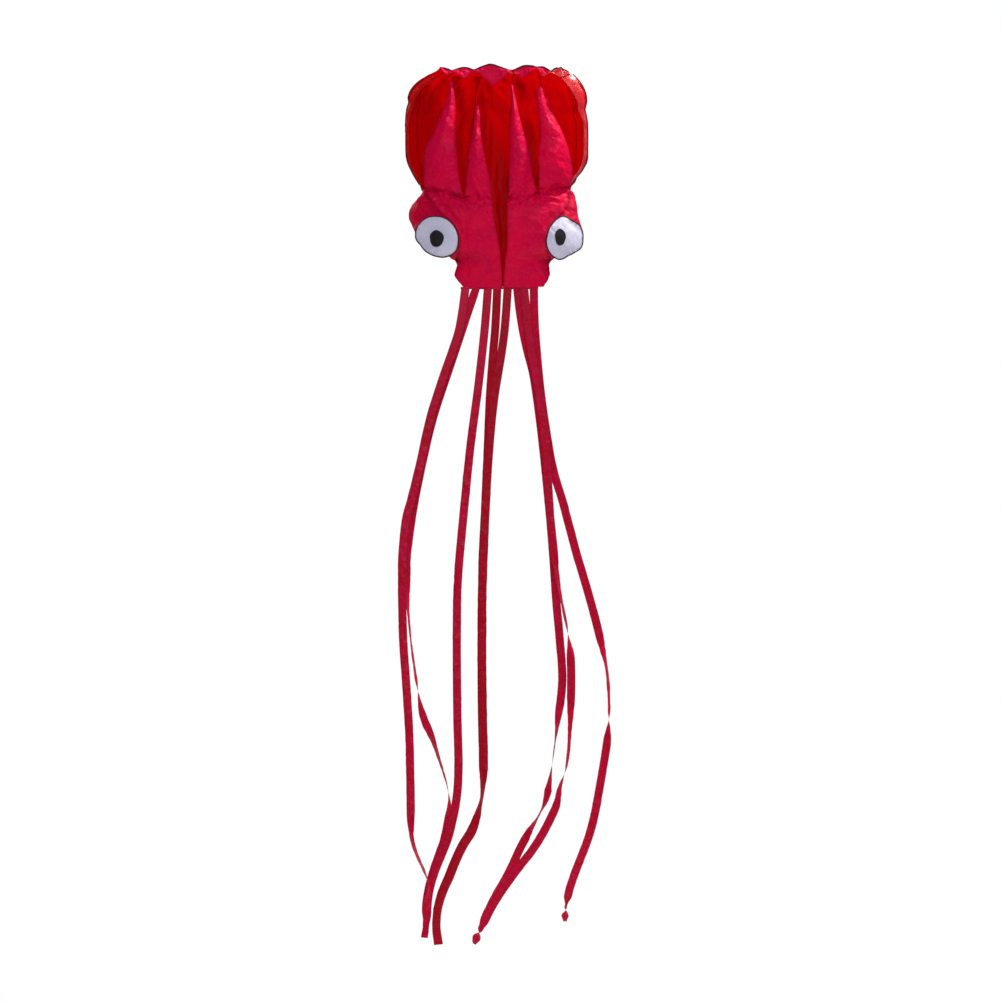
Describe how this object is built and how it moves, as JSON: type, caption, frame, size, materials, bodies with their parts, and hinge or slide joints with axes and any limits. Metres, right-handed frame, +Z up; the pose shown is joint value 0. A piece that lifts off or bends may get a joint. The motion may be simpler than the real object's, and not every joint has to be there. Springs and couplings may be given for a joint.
{
  "type": "octopus kite",
  "caption": "Soft frameless kite shaped as an octopus: a ribbed cloth head with an open front, two eye pods and long ribbon tails.",
  "frame": {"origin": "the middle of the row of four bridle tabs, where the flying lines hold the kite", "axes": "+Z up the head, from the tails to the leading edge; -Y towards the flyer, the open front of the head; +X to the right seen by the flyer"},
  "size_m": [0.9499, 0.501, 3.8771],
  "materials": {
    "canopy_cloth": "thin coated polyester, slightly glossy, lets light through as a saturated red",
    "front_cloth": "thin polyester, crinkled, satin, crimson to pink",
    "eye_white_cloth": "white polyester, matt with a cool tint",
    "eye_black_cloth": "black polyester, matt",
    "tail_cloth": "thin polyester ribbon with cut edges, satin, crimson",
    "webbing": "narrow woven tape, matt, crimson"
  },
  "bodies": {
    "head": {"canopy_left_side": "canopy_cloth", "canopy_left_outer": "canopy_cloth", "canopy_left_inner": "canopy_cloth", "canopy_centre": "canopy_cloth", "canopy_right_inner": "canopy_cloth", "canopy_right_outer": "canopy_cloth", "canopy_right_side": "canopy_cloth", "leading_edge_lip": "front_cloth", "mouth_rim_left": "front_cloth", "mouth_rim_right": "front_cloth", "front_finger_1": "front_cloth", "front_finger_2": "front_cloth", "front_finger_3": "front_cloth", "front_finger_4": "front_cloth", "face_left": "front_cloth", "face_right": "front_cloth", "eye_pod_left": "front_cloth", "eye_white_left": "eye_white_cloth", "eye_pupil_left": "eye_black_cloth", "eye_pod_right": "front_cloth", "eye_white_right": "eye_white_cloth", "eye_pupil_right": "eye_black_cloth", "rib_1": "canopy_cloth", "rib_2": "canopy_cloth", "rib_3": "canopy_cloth", "rib_4": "canopy_cloth", "bridle_tab_1": "webbing", "bridle_tab_2": "webbing", "bridle_tab_3": "webbing", "bridle_tab_4": "webbing"},
    "tail_tape": {"tail_tape": "webbing"},
    "tail_1_upper": {"tail_1_upper": "tail_cloth"},
    "tail_1_lower": {"tail_1_lower": "tail_cloth"},
    "tail_2_upper": {"tail_2_upper": "tail_cloth"},
    "tail_2_lower": {"tail_2_lower": "tail_cloth"},
    "tail_3_upper": {"tail_3_upper": "tail_cloth"},
    "tail_3_lower": {"tail_3_lower": "tail_cloth"},
    "tail_4_upper": {"tail_4_upper": "tail_cloth"},
    "tail_4_lower": {"tail_4_lower": "tail_cloth"},
    "tail_5_upper": {"tail_5_upper": "tail_cloth"},
    "tail_5_lower": {"tail_5_lower": "tail_cloth"},
    "tail_6_upper": {"tail_6_upper": "tail_cloth"},
    "tail_6_lower": {"tail_6_lower": "tail_cloth"},
    "tail_7_upper": {"tail_7_upper": "tail_cloth"},
    "tail_7_lower": {"tail_7_lower": "tail_cloth"},
    "tail_8_upper": {"tail_8_upper": "tail_cloth"},
    "tail_8_lower": {"tail_8_lower": "tail_cloth"}
  },
  "joints": [
    {"name": "tails_stream", "type": "hinge", "parent": "head", "child": "tail_tape", "pos_m": [0.011, 0, -0.6465], "axis": [1, 0, 0], "range_deg": [-15, 75]},
    {"name": "tail_1_sway", "type": "hinge", "parent": "tail_tape", "child": "tail_1_upper", "pos_m": [-0.139, 0, -0.6515], "axis": [0, 1, 0], "range_deg": [-20, 20]},
    {"name": "tail_1_bend", "type": "hinge", "parent": "tail_1_upper", "child": "tail_1_lower", "pos_m": [-0.4113, -0.0989, -1.76], "axis": [0, 1, 0], "range_deg": [-30, 30]},
    {"name": "tail_2_sway", "type": "hinge", "parent": "tail_tape", "child": "tail_2_upper", "pos_m": [-0.092, 0, -0.6515], "axis": [0, 1, 0], "range_deg": [-20, 20]},
    {"name": "tail_2_bend", "type": "hinge", "parent": "tail_2_upper", "child": "tail_2_lower", "pos_m": [-0.39, 0.0159, -1.76], "axis": [0, 1, 0], "range_deg": [-30, 30]},
    {"name": "tail_3_sway", "type": "hinge", "parent": "tail_tape", "child": "tail_3_upper", "pos_m": [-0.04, 0, -0.6515], "axis": [0, 1, 0], "range_deg": [-20, 20]},
    {"name": "tail_3_bend", "type": "hinge", "parent": "tail_3_upper", "child": "tail_3_lower", "pos_m": [-0.1579, -0.0712, -1.76], "axis": [0, 1, 0], "range_deg": [-30, 30]},
    {"name": "tail_4_sway", "type": "hinge", "parent": "tail_tape", "child": "tail_4_upper", "pos_m": [0.001, 0, -0.6515], "axis": [0, 1, 0], "range_deg": [-20, 20]},
    {"name": "tail_4_bend", "type": "hinge", "parent": "tail_4_upper", "child": "tail_4_lower", "pos_m": [-0.06, 0.0436, -1.76], "axis": [0, 1, 0], "range_deg": [-30, 30]},
    {"name": "tail_5_sway", "type": "hinge", "parent": "tail_tape", "child": "tail_5_upper", "pos_m": [0.047, 0, -0.6515], "axis": [0, 1, 0], "range_deg": [-20, 20]},
    {"name": "tail_5_bend", "type": "hinge", "parent": "tail_5_upper", "child": "tail_5_lower", "pos_m": [-0.0564, -0.0436, -1.76], "axis": [0, 1, 0], "range_deg": [-30, 30]},
    {"name": "tail_6_sway", "type": "hinge", "parent": "tail_tape", "child": "tail_6_upper", "pos_m": [0.089, 0, -0.6515], "axis": [0, 1, 0], "range_deg": [-20, 20]},
    {"name": "tail_6_bend", "type": "hinge", "parent": "tail_6_upper", "child": "tail_6_lower", "pos_m": [0.2425, 0.0712, -1.76], "axis": [0, 1, 0], "range_deg": [-30, 30]},
    {"name": "tail_7_sway", "type": "hinge", "parent": "tail_tape", "child": "tail_7_upper", "pos_m": [0.119, 0, -0.6515], "axis": [0, 1, 0], "range_deg": [-20, 20]},
    {"name": "tail_7_bend", "type": "hinge", "parent": "tail_7_upper", "child": "tail_7_lower", "pos_m": [0.2441, -0.0159, -1.76], "axis": [0, 1, 0], "range_deg": [-30, 30]},
    {"name": "tail_8_sway", "type": "hinge", "parent": "tail_tape", "child": "tail_8_upper", "pos_m": [0.162, 0, -0.6515], "axis": [0, 1, 0], "range_deg": [-20, 20]},
    {"name": "tail_8_bend", "type": "hinge", "parent": "tail_8_upper", "child": "tail_8_lower", "pos_m": [0.3342, 0.0989, -1.76], "axis": [0, 1, 0], "range_deg": [-30, 30]}
  ]
}
